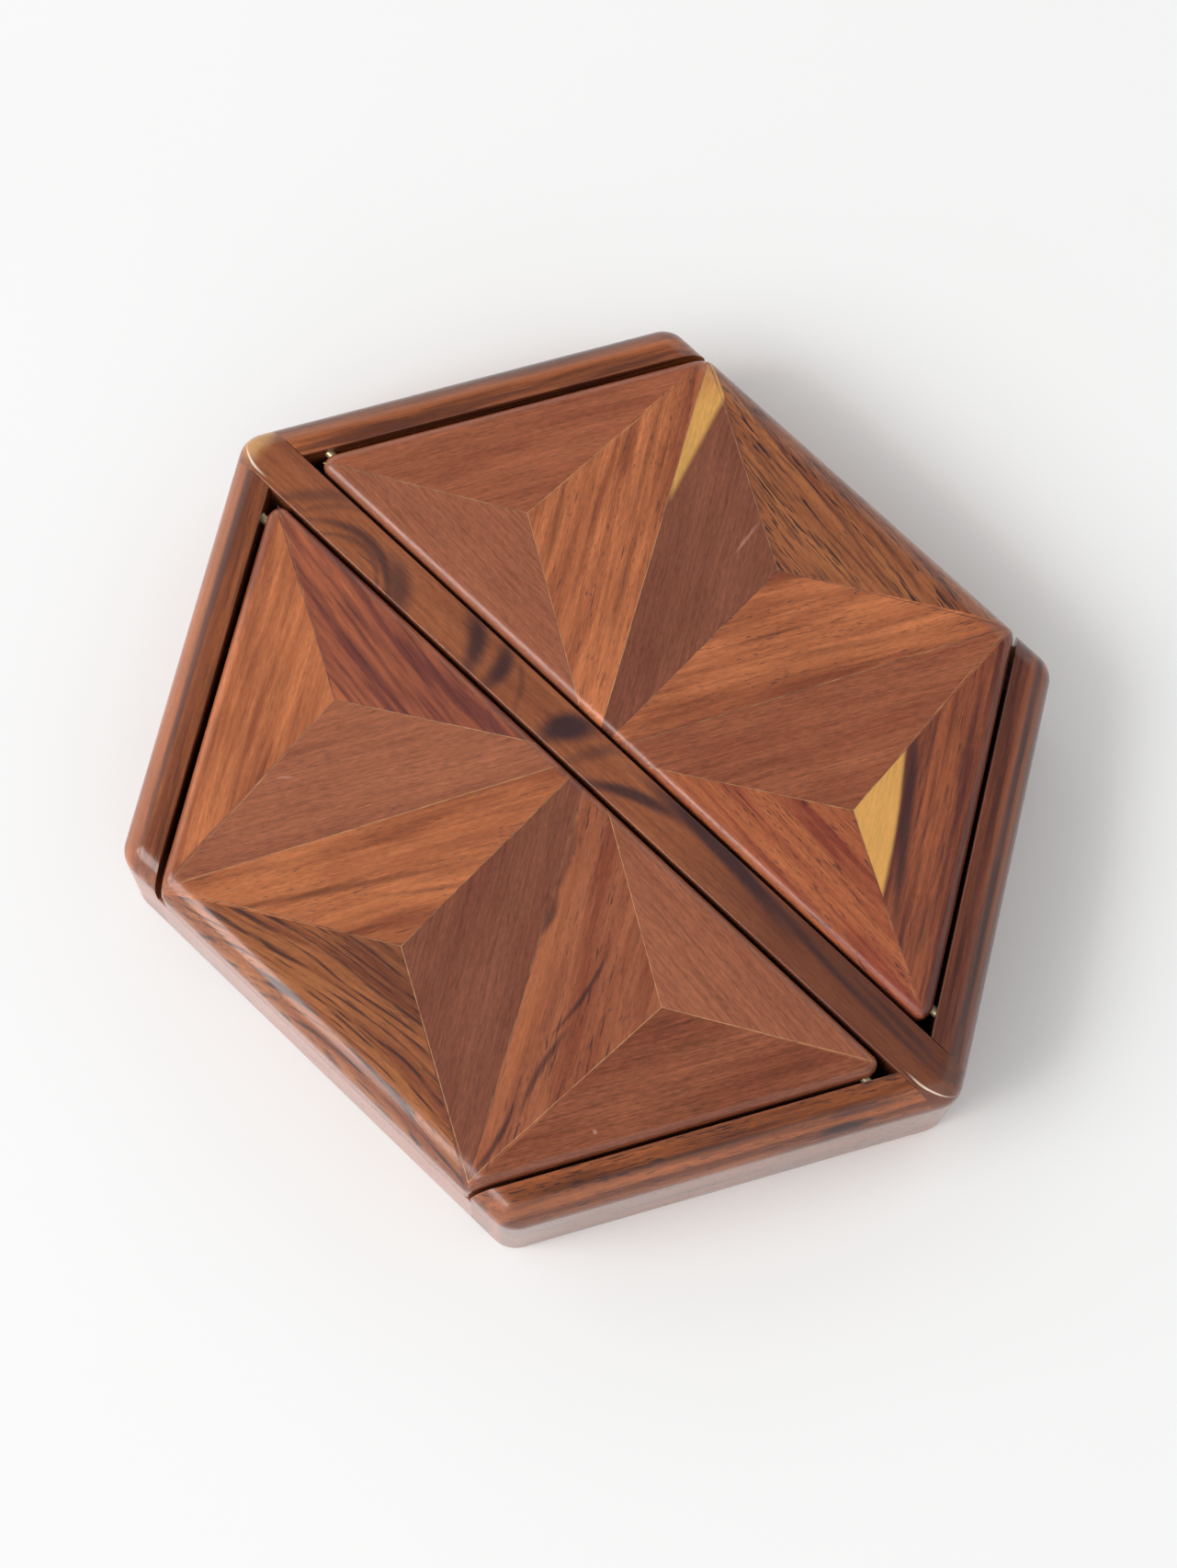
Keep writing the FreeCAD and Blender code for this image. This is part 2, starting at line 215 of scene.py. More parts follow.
class Patch:
    """A place where the wood has another colour: sapwood, an ink line of the figure, a scuff, a painted
    highlight.

    Millimetres in plan. It is an ellipse about (x, y) that reaches along and across from there, turned
    so that its length lies at an angle of turn degrees; a wedge tapers evenly instead. bow bends its
    length into an arc. soft and rough are how blurred and how ragged its edge is."""

    def __init__(self, x, y, along, across, turn, tone, soft=0.4, bow=0.0, strength=1.0, wedge=False,
                 rough=1.0):
        self.x = x
        self.y = y
        self.along = along
        self.across = across
        self.turn = turn
        self.tone = tone
        self.soft = soft
        self.bow = bow
        self.strength = strength
        self.wedge = wedge
        self.rough = rough


class Wood:
    """How one cut of wood looks. Lengths in millimetres, amounts from 0 to about 1.

    tones names its pale and deep colours, shade makes the whole piece lighter or darker. stripe is the
    width of the soft stripes and depth their contrast, bend how far the grain wanders, bow how much it
    arches. rings is the amount of dark growth lines, ring_gap and ring_width their spacing and width.
    dash is the amount of dark dashes, dash_width and dash_run their size, pore the amount of fine pores,
    fine the contrast of the finest lines, coat the thickness of the lacquer. lean is how far the patches
    slant below the top face, in degrees."""

    def __init__(self, tones, shade=1.0, stripe=4.0, depth=0.4, bend=2.0, bow=0.0, rings=0.0, ring_gap=3.0,
                 ring_width=0.9, dash=0.0, dash_width=0.7, dash_run=9.0, pore=0.5, fine=0.6, coat=0.0,
                 lean=0.0, patches=()):
        self.tones = tones
        self.shade = shade
        self.stripe = stripe
        self.depth = depth
        self.bend = bend
        self.bow = bow
        self.rings = rings
        self.ring_gap = ring_gap
        self.ring_width = ring_width
        self.dash = dash
        self.dash_width = dash_width
        self.dash_run = dash_run
        self.pore = pore
        self.fine = fine
        self.coat = coat
        self.lean = lean
        self.patches = patches


def wood_material(name, wood, grain, centre, board):
    """Figured hardwood under a rubbed oil and lacquer finish.

    Planed, sanded and built up with thin coats: the eye gets soft stripes and fine lines that run with
    the grain, small dark pores, and a gloss that breaks up slightly along the grain. grain is its
    direction in degrees, centre the middle of the piece, and board any number: each one gives wood from
    another place in the log."""
    colours = bpy.context.scene.box_woods
    pale = rgba(getattr(colours, wood.tones + "_pale"))
    deep = rgba(getattr(colours, wood.tones + "_deep"))
    ink = rgba(colours.ink)
    material = new_material(name)
    tree = material.node_tree

    place = add(tree, "TexCoord", {}, "Object")
    cut = add(tree, "Mapping", {"Vector": place, "Location": centre, "Rotation": (0, 0, math.radians(grain)),
                                "Scale": (MM, MM, MM)}, vector_type="TEXTURE")
    # each board comes from another place in the log, and its grain wanders and arches
    place_in_log = tuple(step * board for step in LOG_STEP)
    from_log = add(tree, "VectorMath", {0: cut, 1: place_in_log}, operation="ADD")
    slow = add(tree, "VectorMath", {0: from_log, 1: (0.012, 0.035, 0.035)}, operation="MULTIPLY")
    wander = add(tree, "TexNoise", {"Vector": slow, "Scale": 1.0, "Detail": 1.5}, "Color")
    grain_at = add(tree, "VectorMath", {0: wander, 1: (0.0, 2 * wood.bend, 2 * wood.bend), 2: from_log},
                   operation="MULTIPLY_ADD")
    if wood.bow:
        run = add(tree, "SeparateXYZ", {0: cut}, "X")
        lift = add(tree, "Math", {0: run, 1: run}, operation="MULTIPLY")
        lift = add(tree, "Math", {0: lift, 1: wood.bow}, operation="MULTIPLY")
        arch = add(tree, "CombineXYZ", {"Y": lift})
        grain_at = add(tree, "VectorMath", {0: grain_at, 1: arch}, operation="ADD")

    def stretched(run, width, detail=1.0, rough=0.5):
        """Noise whose features are run long with the grain and width wide across it."""
        fit = (1 / run, 1 / width, 1 / width)
        scaled = add(tree, "VectorMath", {0: grain_at, 1: fit}, operation="MULTIPLY")
        return add(tree, "TexNoise", {"Vector": scaled, "Scale": 1.0, "Detail": detail,
                                      "Roughness": rough}, "Fac")

    # soft stripes, wide and narrow ones together
    wide = add(tree, "MapRange", {"Value": stretched(95.0, wood.stripe * 2.2), "From Min": 0.36,
                                  "From Max": 0.64}, interpolation_type="SMOOTHSTEP")
    narrow = add(tree, "MapRange", {"Value": stretched(40.0, wood.stripe * 0.8, 2.0, 0.6), "From Min": 0.34,
                                    "From Max": 0.66}, interpolation_type="SMOOTHSTEP")
    both = add(tree, "Math", {0: wide, 1: narrow}, operation="ADD")
    stripes = add(tree, "Math", {0: both, 1: 0.5 * wood.depth, 2: 0.5 - 0.5 * wood.depth},
                  operation="MULTIPLY_ADD")
    tone = add(tree, "Mix", {0: stripes, 6: deep, 7: pale}, 2, data_type="RGBA")
    # the finest lines, about half a millimetre wide, and the short grain between them
    lines = stretched(22.0, 0.75, 3.0, 0.7)
    grains = stretched(2.6, 0.5, 2.0, 0.6)
    value = add(tree, "Math", {0: lines, 1: 1.3 * wood.fine, 2: wood.shade - 0.65 * wood.fine},
                operation="MULTIPLY_ADD")
    short = add(tree, "Math", {0: grains, 1: 1.1 * wood.fine, 2: -0.55 * wood.fine}, operation="MULTIPLY_ADD")
    value = add(tree, "Math", {0: value, 1: short}, operation="ADD")
    tone = add(tree, "HueSaturation", {"Color": tone, "Value": value})
    # growth lines: the distance from y / gap + uneven to the nearest whole number is 0 on each line
    if wood.rings:
        across = add(tree, "SeparateXYZ", {0: grain_at}, "Y")
        uneven = stretched(70.0, wood.ring_gap * 3.0, 2.0)
        uneven = add(tree, "Math", {0: uneven, 1: 3.4}, operation="MULTIPLY")
        phase = add(tree, "Math", {0: across, 1: 1 / wood.ring_gap, 2: uneven}, operation="MULTIPLY_ADD")
        away = add(tree, "Math", {0: phase, 1: 0.5}, operation="PINGPONG")
        half = wood.ring_width / wood.ring_gap / 2
        line = add(tree, "MapRange", {"Value": away, "From Min": 0.2 * half, "From Max": 1.6 * half,
                                      "To Min": wood.rings, "To Max": 0.0}, interpolation_type="SMOOTHSTEP")
        broken = add(tree, "MapRange", {"Value": stretched(15.0, wood.ring_gap * 0.8), "From Min": 0.38,
                                        "From Max": 0.6}, interpolation_type="SMOOTHSTEP")
        line = add(tree, "Math", {0: line, 1: broken}, operation="MULTIPLY")
        tone = add(tree, "Mix", {0: line, 6: tone, 7: ink}, 2, data_type="RGBA")
    # dark dashes, crowded into rows
    if wood.dash:
        rows = add(tree, "MapRange", {"Value": stretched(45.0, wood.dash_width * 6), "From Min": 0.38,
                                      "From Max": 0.58}, interpolation_type="SMOOTHSTEP")
        edge = 0.70 - 0.14 * wood.dash
        dashes = add(tree, "MapRange", {"Value": stretched(wood.dash_run, wood.dash_width), "From Min": edge,
                                        "From Max": edge + 0.07, "To Max": min(1.0, 0.5 + 0.4 * wood.dash)},
                     interpolation_type="SMOOTHSTEP")
        dashes = add(tree, "Math", {0: dashes, 1: rows}, operation="MULTIPLY")
        tone = add(tree, "Mix", {0: dashes, 6: tone, 7: ink}, 2, data_type="RGBA")
    # open pores: short dark dashes, drawn a third of a millimetre wide so that they show
    pores = add(tree, "MapRange", {"Value": stretched(2.4, 0.36), "From Min": 0.62, "From Max": 0.70},
                interpolation_type="SMOOTHSTEP")
    crowd = add(tree, "MapRange", {"Value": stretched(30.0, 3.0), "From Min": 0.3, "From Max": 0.6})
    pores = add(tree, "Math", {0: pores, 1: crowd}, operation="MULTIPLY")
    dark_pores = add(tree, "Math", {0: pores, 1: 0.65 * wood.pore}, operation="MULTIPLY")
    tone = add(tree, "Mix", {0: dark_pores, 6: tone, 7: ink}, 2, data_type="RGBA")
    # patches: 1 is the edge of the ellipse or wedge, and the fine lines of the wood go on inside it
    quiet = add(tree, "Math", {0: value, 1: 0.5, 2: 0.5}, operation="MULTIPLY_ADD")
    for patch in wood.patches:
        at = add(tree, "Mapping", {"Vector": place, "Location": (patch.x * MM, patch.y * MM, CAD_BOX[1][2]),
                                   "Rotation": (math.radians(wood.lean), 0, math.radians(patch.turn)),
                                   "Scale": (patch.along * MM, patch.across * MM, 1.0)},
                 vector_type="TEXTURE")
        u = add(tree, "SeparateXYZ", {0: at}, "X")
        v = add(tree, "SeparateXYZ", {0: at}, "Y")
        square = add(tree, "Math", {0: u, 1: u}, operation="MULTIPLY")
        bent = add(tree, "Math", {0: square, 1: patch.bow / patch.across, 2: v}, operation="MULTIPLY_ADD")
        ragged = 0.9 * patch.rough / patch.across
        rag = add(tree, "Math", {0: lines, 1: ragged, 2: -0.5 * ragged}, operation="MULTIPLY_ADD")
        bent = add(tree, "Math", {0: bent, 1: rag}, operation="ADD")
        if patch.wedge:
            long = add(tree, "Math", {0: u}, operation="ABSOLUTE")
            broad = add(tree, "Math", {0: bent}, operation="ABSOLUTE")
            away = add(tree, "Math", {0: long, 1: broad}, operation="ADD")
        else:
            broad = add(tree, "Math", {0: bent, 1: bent}, operation="MULTIPLY")
            away = add(tree, "Math", {0: square, 1: broad}, operation="ADD")
            away = add(tree, "Math", {0: away}, operation="SQRT")
        inside = add(tree, "MapRange", {"Value": away, "From Min": 1.0 - patch.soft,
                                        "From Max": 1.0 + patch.soft, "To Min": patch.strength,
                                        "To Max": 0.0}, interpolation_type="SMOOTHSTEP")
        overlay = add(tree, "HueSaturation", {"Color": rgba(getattr(colours, patch.tone)), "Value": quiet})
        tone = add(tree, "Mix", {0: inside, 6: tone, 7: overlay}, 2, data_type="RGBA")
    # the colour and the gloss change a little over a few centimetres; open pores are duller
    handled = add(tree, "TexNoise", {"Vector": cut, "Scale": 0.035, "Detail": 3.0}, "Fac")
    worn = add(tree, "MapRange", {"Value": handled, "From Min": 0.3, "From Max": 0.7, "To Min": 0.94,
                                  "To Max": 1.06})
    tone = add(tree, "HueSaturation", {"Color": tone, "Value": worn})
    dull = add(tree, "MapRange", {"Value": handled, "From Min": 0.3, "From Max": 0.7, "To Min": 0.15,
                                  "To Max": 0.23})
    rough = add(tree, "Math", {0: pores, 1: 0.25, 2: dull}, operation="MULTIPLY_ADD")
    fine_lines = add(tree, "Math", {0: lines, 1: 0.8}, operation="MULTIPLY")
    height = add(tree, "Math", {0: fine_lines, 1: pores}, operation="SUBTRACT")
    bump = add(tree, "Bump", {"Height": height, "Strength": 0.35, "Distance": 0.03 * MM})
    shader = add(tree, "BsdfPrincipled", {"Base Color": tone, "Roughness": rough, "IOR": 1.5, "Normal": bump,
                                          "Coat Weight": wood.coat, "Coat Roughness": 0.12})
    add(tree, "OutputMaterial", {"Surface": shader})
    return material


def dress(node, material):
    """Puts the material in every slot of a CAD node."""
    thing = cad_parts[node]
    for slot in thing.material_slots:
        slot.material = material
    if not thing.material_slots:
        thing.data.materials.append(material)


def middle(node):
    """Centre of a CAD node's box, in metres."""
    low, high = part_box(node)
    return tuple((a + b) / 2 for a, b in zip(low, high))


# Where the slanted sides would meet the middle plane; the lid's front, top, inner edge and slanted
# edges, and how far both lids stand toward +X.
HALF_WIDTH = 140.0 * MM
HALF_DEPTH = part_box("lid_1_facet_4")[1][1]
LID_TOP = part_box("lid_1_facet_5")[1][2]
LID_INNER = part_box("lid_1_facet_3")[0][1]
LID_INSET = 13.5 * MM
LID_SHIFT = middle("lid_1_facet_4")[0]


def wall_x(depth, inset):
    """X of the line that lies inset from a slanted side, at a distance from the middle plane."""
    return HALF_WIDTH - depth * TAN30 - inset / COS30


def rail_streak(rail, inset, across, tone, slide=0.0, along=75.0, soft=0.6, strength=0.6):
    """A streak along a side rail, inset millimetres from its outer face and slid towards the front."""
    side_x = 1 if rail in (1, 4) else -1
    side_y = 1 if rail in (1, 2) else -1
    depth = 60.0 + slide * COS30
    x = wall_x(depth * MM, inset * MM) / MM
    return Patch(side_x * x, side_y * depth, along, across, side_x * side_y * FALLING, tone, soft,
                 strength=strength)


# Each facet's wood and the direction of its grain, for each lid.
FACETS = {
    1: {1: (Wood("plain_red", stripe=5, depth=0.6, pore=0.4, fine=0.8), RISING),
        2: (Wood("orange", shade=1.04, stripe=3.5, depth=1.2, bend=1.5, dash=0.35, dash_width=0.5, pore=1.0,
                 patches=(
                     Patch(-56.0, 44.0, 14.0, 1.3, -58.0, "shade", 0.7, strength=0.5),
                     Patch(-50.0, 75.0, 20.0, 0.9, -60.0, "shade", 0.8, strength=0.45),
                     Patch(-29.0, 42.0, 16.0, 1.0, -60.0, "shade", 0.8, strength=0.4))), FALLING),
        3: (Wood("tan", stripe=6, depth=0.4, pore=0.4, fine=0.8), -5.0),
        4: (Wood("olive", stripe=3, depth=0.9, bend=2.5, rings=0.5, ring_gap=2.6, ring_width=0.9, dash=1.15,
                 dash_width=0.55, dash_run=9, pore=1.0, coat=0.15), -9.0),
        5: (Wood("plum", stripe=6, depth=0.6, pore=0.4, fine=0.8, patches=(
            Patch(-59.5, 110.0, 44.0, 10.5, FALLING, "sapwood", 0.1, wedge=True),
            Patch(-57.0, 109.0, 9.0, 5.0, FALLING, "orange_pale", 0.6, strength=0.5),
            Patch(-13.0, 77.0, 5.0, 0.45, -82.0, "scuff", 0.6, strength=0.45))), FALLING),
        6: (Wood("orange", stripe=4, depth=1.1, bend=1.5, dash=0.3, dash_width=0.45, dash_run=6, pore=1.2,
                 patches=(
                     Patch(12.2, 61.8, 10.0, 0.5, RISING, "shade", 0.8, strength=0.6),
                     Patch(30.0, 74.0, 20.0, 1.0, 56.0, "shade", 0.8, strength=0.35))), RISING),
        7: (Wood("striped", stripe=3, depth=1.1, bend=1.5, rings=0.4, ring_gap=3.5, ring_width=1.2, dash=0.5,
                 dash_width=0.5, pore=0.8, patches=(
                     Patch(63.3, 39.0, 60.0, 12.6, -56.0, "sapwood", 0.06),
                     Patch(74.5, 49.0, 30.0, 1.5, -54.0, "ink", 0.6, strength=0.85))), FALLING),
        8: (Wood("plain_red", shade=0.93, stripe=4, depth=0.7, pore=0.6, fine=0.8), RISING),
        9: (Wood("ember", stripe=3, depth=1.0, bend=1.5, dash=0.7, dash_width=0.4, dash_run=5,
                 pore=1.2), -5.0)},
    2: {1: (Wood("plain_red", shade=0.78, stripe=5, depth=0.9, pore=0.5, fine=0.8, patches=(
            Patch(73.9, -76.6, 0.7, 0.5, 0.0, "scuff", 0.5, strength=0.8),)), RISING),
        2: (Wood("plain_red", shade=0.96, stripe=4, depth=1.2, bend=3, dash=0.6, dash_width=0.6, dash_run=7,
                 pore=1.0, patches=(
                     Patch(38.0, -66.0, 34.0, 3.0, -64.0, "orange_pale", 0.7, strength=0.45),
                     Patch(45.6, -50.5, 13.0, 0.6, -79.0, "ink", 0.7, 1.2, 0.75),
                     Patch(51.4, -75.0, 12.0, 0.9, -75.0, "ink", 0.7, -1.0, 0.7),
                     Patch(56.4, -96.0, 11.0, 0.8, -76.0, "ink", 0.7, 1.0, 0.8),
                     Patch(23.8, -42.0, 5.5, 1.2, -72.0, "ink", 0.7, 0.8, 0.65),
                     Patch(16.0, -27.0, 10.0, 1.0, -62.0, "ink", 0.8, 0.8, 0.5))), FALLING),
        3: (Wood("tan", stripe=5, depth=0.5, pore=0.4, fine=0.8), -7.0),
        4: (Wood("olive", stripe=3, depth=1.0, bend=4, bow=0.0022, rings=0.85, ring_gap=2.7, ring_width=0.85,
                 dash=0.7, dash_width=0.4, dash_run=12, pore=0.6, coat=0.15, patches=(
                     Patch(2.0, -83.0, 24.0, 6.0, 0.0, "shade", 0.9, strength=0.45),)), 6.0),
        5: (Wood("plum", stripe=6, depth=0.6, pore=0.4, fine=0.8), FALLING),
        6: (Wood("orange", shade=0.97, stripe=5, depth=1.1, bend=1.5, dash=0.15, pore=0.9, patches=(
            Patch(-24.0, -77.0, 28.0, 0.9, 56.0, "shade", 0.8, strength=0.5),
            Patch(-6.0, -60.0, 12.0, 0.7, 52.0, "shade", 0.8, strength=0.4))), RISING),
        7: (Wood("orange", shade=1.02, stripe=4, depth=1.1, bend=1.5, pore=0.5), FALLING),
        8: (Wood("tan", shade=1.04, stripe=5, depth=0.7, pore=0.6, fine=0.8, patches=(
            Patch(-57.1, -64.7, 1.9, 0.35, 45.0, "scuff", 0.6, strength=0.6),)), RISING),
        9: (Wood("striped", shade=1.55, stripe=3.5, depth=1.2, bend=3, rings=0.35, ring_gap=3.2,
                 ring_width=1.1, dash=0.3, dash_width=0.7, dash_run=18, pore=0.6), -8.0)},
}

# Each side rail's wood and the direction of its grain.
RAILS = {
    1: (Wood("rail", shade=1.08, stripe=2.5, depth=1.0, bend=1.0, rings=0.4, ring_gap=2.8, ring_width=1.0,
             dash=0.5, dash_width=0.5, dash_run=20, pore=0.5, coat=0.2, patches=(
                 rail_streak(1, 2.6, 0.8, "warm_rail_pale", slide=22.0, strength=0.55),
                 rail_streak(1, 4.2, 0.8, "ink", slide=10.0, strength=0.5),
                 rail_streak(1, 6.2, 0.9, "warm_rail_pale", slide=30.0, along=40.0, strength=0.35),
                 rail_streak(1, 11.0, 0.8, "warm_rail_deep", strength=0.5))), FALLING),
    2: (Wood("warm_rail", shade=1.12, stripe=2.5, depth=1.2, bend=1.0, rings=0.4, ring_gap=3.0,
             ring_width=1.0, dash=0.4, dash_width=0.5, dash_run=25, pore=0.5, coat=0.2, patches=(
                 rail_streak(2, 2.6, 2.0, "shade", strength=0.55),
                 rail_streak(2, 2.2, 0.9, "ink", slide=12.0, along=32.0, strength=0.55),
                 rail_streak(2, 6.3, 1.0, "warm_rail_pale", soft=0.8, strength=0.75),
                 rail_streak(2, 10.0, 0.8, "shade", slide=-10.0, strength=0.5))), RISING),
    3: (Wood("warm_rail", shade=1.09, stripe=3, depth=1.0, bend=1.0, rings=0.3, ring_gap=3.0, dash=0.4,
             dash_width=0.5, dash_run=14, pore=0.7, coat=0.2, patches=(
                 rail_streak(3, 2.6, 1.8, "orange_pale", soft=0.7, strength=0.55),
                 rail_streak(3, 5.6, 0.9, "shade", slide=-12.0, strength=0.75),
                 rail_streak(3, 8.2, 0.9, "rail_pale", slide=10.0, strength=0.5))), FALLING),
    4: (Wood("warm_rail", stripe=3, depth=1.0, bend=1.5, rings=0.3, ring_gap=2.6, dash=0.9, dash_width=0.45,
             dash_run=5, pore=1.0, coat=0.2, patches=(
                 rail_streak(4, 3.8, 1.2, "orange_pale", slide=32.0, along=36.0, soft=0.8, strength=0.4),
                 rail_streak(4, 2.0, 0.9, "shade", slide=-8.0, strength=0.6),
                 rail_streak(4, 6.4, 0.5, "ink", slide=-12.0, along=50.0, strength=0.45),
                 rail_streak(4, 1.9, 1.0, "ink", slide=-37.0, along=7.0, strength=0.95),
                 rail_streak(4, 5.0, 0.8, "ink", slide=-46.0, along=9.0, strength=0.6))), RISING),
}

DIVIDER = Wood("divider", stripe=4, depth=0.7, bend=3.0, rings=0.15, ring_gap=2.2, ring_width=0.7, dash=0.2,
               dash_width=0.5, pore=0.5, coat=0.15, lean=50.0, patches=(
    Patch(112.0, 0.0, 66.0, 12.0, 0.0, "shade", 0.5, strength=0.5),
    Patch(104.0, 3.6, 44.0, 3.2, 0.0, "shade", 0.6, strength=0.5),
    Patch(-137.0, -2.0, 5.0, 4.0, 0.0, "sapwood", 0.6, strength=0.7),
    Patch(-108.5, 1.3, 13.0, 1.2, 42.0, "ink", 0.8, 1.2, 0.5),
    Patch(-103.0, 1.8, 10.0, 0.6, 42.0, "ink", 0.8, 1.2, 0.35),
    Patch(-88.5, 0.2, 16.0, 0.9, -7.0, "ink", 0.7, 5.0, 0.75),
    Patch(-88.5, -2.2, 13.0, 0.6, -7.0, "ink", 0.8, 5.0, 0.5),
    Patch(-75.5, -3.0, 8.0, 2.2, -38.0, "ink", 0.7, 0.8, 0.7),
    Patch(-48.0, 0.8, 8.5, 1.8, -50.0, "ink", 0.7, 1.4, 0.9),
    Patch(-37.8, 0.4, 7.0, 1.7, -72.0, "ink", 0.7, 1.0, 0.9),
    Patch(-30.0, 0.0, 6.5, 0.6, -52.0, "ink", 0.8, 0.6, 0.4),
    Patch(-10.0, 0.2, 8.0, 2.6, 50.0, "ink", 0.5, 0.8, 0.97),
    Patch(1.0, 0.5, 7.0, 1.2, 56.0, "ink", 0.8, 0.4, 0.5),
    Patch(16.5, -1.6, 14.5, 1.1, 22.0, "ink", 0.6, 1.2, 0.9),
    Patch(44.0, 3.9, 26.0, 1.5, -4.0, "ink", 0.5, 1.2, 0.92),
    Patch(78.0, 1.6, 22.0, 0.7, -5.0, "ink", 0.8, 0.0, 0.7),
    Patch(108.0, -0.3, 26.0, 0.6, -2.0, "ink", 0.8, 0.0, 0.65),
    Patch(116.0, 2.0, 19.0, 0.6, -4.0, "ink", 0.8, 0.4, 0.6),
    # painted highlight: pale lines along the divider's edge where rails 3 and 4 butt against it
    Patch(131.5, -6.65, 5.5, 0.22, 0.0, "joint_glint", 0.6, rough=0.1),
    Patch(-131.5, -6.65, 5.0, 0.25, 0.0, "joint_glint", 0.6, rough=0.1),
))


# ---------------------------------------------------------------- other materials

def filler_material():
    """Dried glue mixed with wood dust, levelled with the facets: pale and dull where the joint was open,
    and only a dark line where it is tight. The attribute filled says how open the joint was."""
    box = bpy.context.scene.box_settings
    woods = bpy.context.scene.box_woods
    material = new_material("seam_filler")
    tree = material.node_tree
    place = add(tree, "TexCoord", {}, "Object")
    filled = add(tree, "Attribute", {}, "Fac", attribute_name="filled")
    fine = add(tree, "TexNoise", {"Vector": place, "Scale": 260.0, "Detail": 3.0}, "Fac")
    broad = add(tree, "TexNoise", {"Vector": place, "Scale": 45.0, "Detail": 2.0}, "Fac")
    uneven = add(tree, "Math", {0: fine, 1: broad}, operation="ADD")
    uneven = add(tree, "Math", {0: uneven, 1: 1.6, 2: -1.6}, operation="MULTIPLY_ADD")
    level = add(tree, "Math", {0: filled, 1: uneven}, operation="ADD", use_clamp=True)
    tone = add(tree, "Mix", {0: level, 6: rgba(woods.shade), 7: rgba(box.filler)}, 2, data_type="RGBA")
    bump = add(tree, "Bump", {"Height": fine, "Strength": 0.3, "Distance": 0.05 * MM})
    shader = add(tree, "BsdfPrincipled", {"Base Color": tone, "Roughness": 0.5, "IOR": 1.5, "Normal": bump})
    add(tree, "OutputMaterial", {"Surface": shader})
    return material


def brass_material():
    """Drawn brass rod, gone dull: fine lines along the rod and a pale film of dried lacquer."""
    box = bpy.context.scene.box_settings
    material = new_material("dull_brass")
    tree = material.node_tree
    place = add(tree, "TexCoord", {}, "Object")
    drawn = add(tree, "Mapping", {"Vector": place, "Scale": (120.0, 4000.0, 4000.0)})
    lines = add(tree, "TexNoise", {"Vector": drawn, "Scale": 1.0, "Detail": 2.0}, "Fac")
    film = add(tree, "TexNoise", {"Vector": place, "Scale": 500.0, "Detail": 2.0}, "Fac")
    tone = add(tree, "Mix", {0: film, 6: rgba(box.brass), 7: rgba(box.brass_film)}, 2, data_type="RGBA")
    metal = add(tree, "MapRange", {"Value": film, "To Min": 0.9, "To Max": 0.35})
    rough = add(tree, "MapRange", {"Value": film, "To Min": 0.32, "To Max": 0.55})
    bump = add(tree, "Bump", {"Height": lines, "Strength": 0.2, "Distance": 0.02 * MM})
    shader = add(tree, "BsdfPrincipled", {"Base Color": tone, "Metallic": metal, "Roughness": rough,
                                          "Normal": bump})
    add(tree, "OutputMaterial", {"Surface": shader})
    return material


def felt_material():
    """Pressed wool felt: matted short fibres, no shine, a pale fuzz where it is seen at a slant."""
    box = bpy.context.scene.box_settings
    material = new_material("pressed_felt")
    tree = material.node_tree
    place = add(tree, "TexCoord", {}, "Object")
    # fibres about 0.4 mm across, in tufts of a few millimetres
    fibres = add(tree, "TexNoise", {"Vector": place, "Scale": 2400.0, "Detail": 3.0,
                                    "Distortion": 1.5}, "Fac")
    tufts = add(tree, "TexNoise", {"Vector": place, "Scale": 260.0, "Detail": 2.0}, "Fac")
    level = add(tree, "Math", {0: fibres, 1: tufts}, operation="MULTIPLY")
    level = add(tree, "MapRange", {"Value": level, "From Min": 0.12, "From Max": 0.42})
    tone = add(tree, "Mix", {0: level, 6: rgba(box.felt), 7: rgba(box.felt_fuzz)}, 2, data_type="RGBA")
    bump = add(tree, "Bump", {"Height": fibres, "Strength": 0.8, "Distance": 0.25 * MM})
    shader = add(tree, "BsdfPrincipled", {"Base Color": tone, "Roughness": 0.95, "IOR": 1.45,
                                          "Specular IOR Level": 0.2, "Sheen Weight": 0.4,
                                          "Sheen Roughness": 0.5, "Normal": bump})
    add(tree, "OutputMaterial", {"Surface": shader})
    return material


# ---------------------------------------------------------------- shapes

def mesh_object(name, points, faces, material, smooth=True):
    """A new piece at the origin, in metres."""
    mesh = bpy.data.meshes.new(name)
    mesh.from_pydata(points.tolist(), [], faces.tolist())
    mesh.update()
    mesh.polygons.foreach_set("use_smooth", np.full(len(faces), smooth))
    mesh.materials.append(material)
    thing = bpy.data.objects.new(name, mesh)
    bpy.context.scene.collection.objects.link(thing)
    return thing


def grid_faces(rows, columns):
    """Four-sided faces between the points of a grid whose points run along its columns first."""
    i, j = np.meshgrid(np.arange(rows - 1), np.arange(columns - 1), indexing="ij")
    a = (i * columns + j).ravel()
    return np.stack([a, a + columns, a + columns + 1, a + 1], 1)


def liner_top(half_length, near, far, height):
    """Top of a felt liner: a half-hexagon with a ripple of about a tenth of a millimetre.

    y(t) = near + t (far - near) and x(s, t) = s * (half_length - (y - near) tan 30), with s from -1 to 1
    and t from 0 to 1; z = height - ripple * (1 + sin(190 x) cos(230 y)) / 2, in metres."""
    columns, rows = 90, 45
    ripple = 0.12 * MM
    s, t = np.meshgrid(np.linspace(-1, 1, columns), np.linspace(0, 1, rows), indexing="ij")
    y = near + t * (far - near)
    x = s * (half_length - t * (far - near) * TAN30)
    z = height - ripple * (1 + np.sin(x * 190) * np.cos(y * 230)) / 2
    return x, y, z, grid_faces(columns, rows)


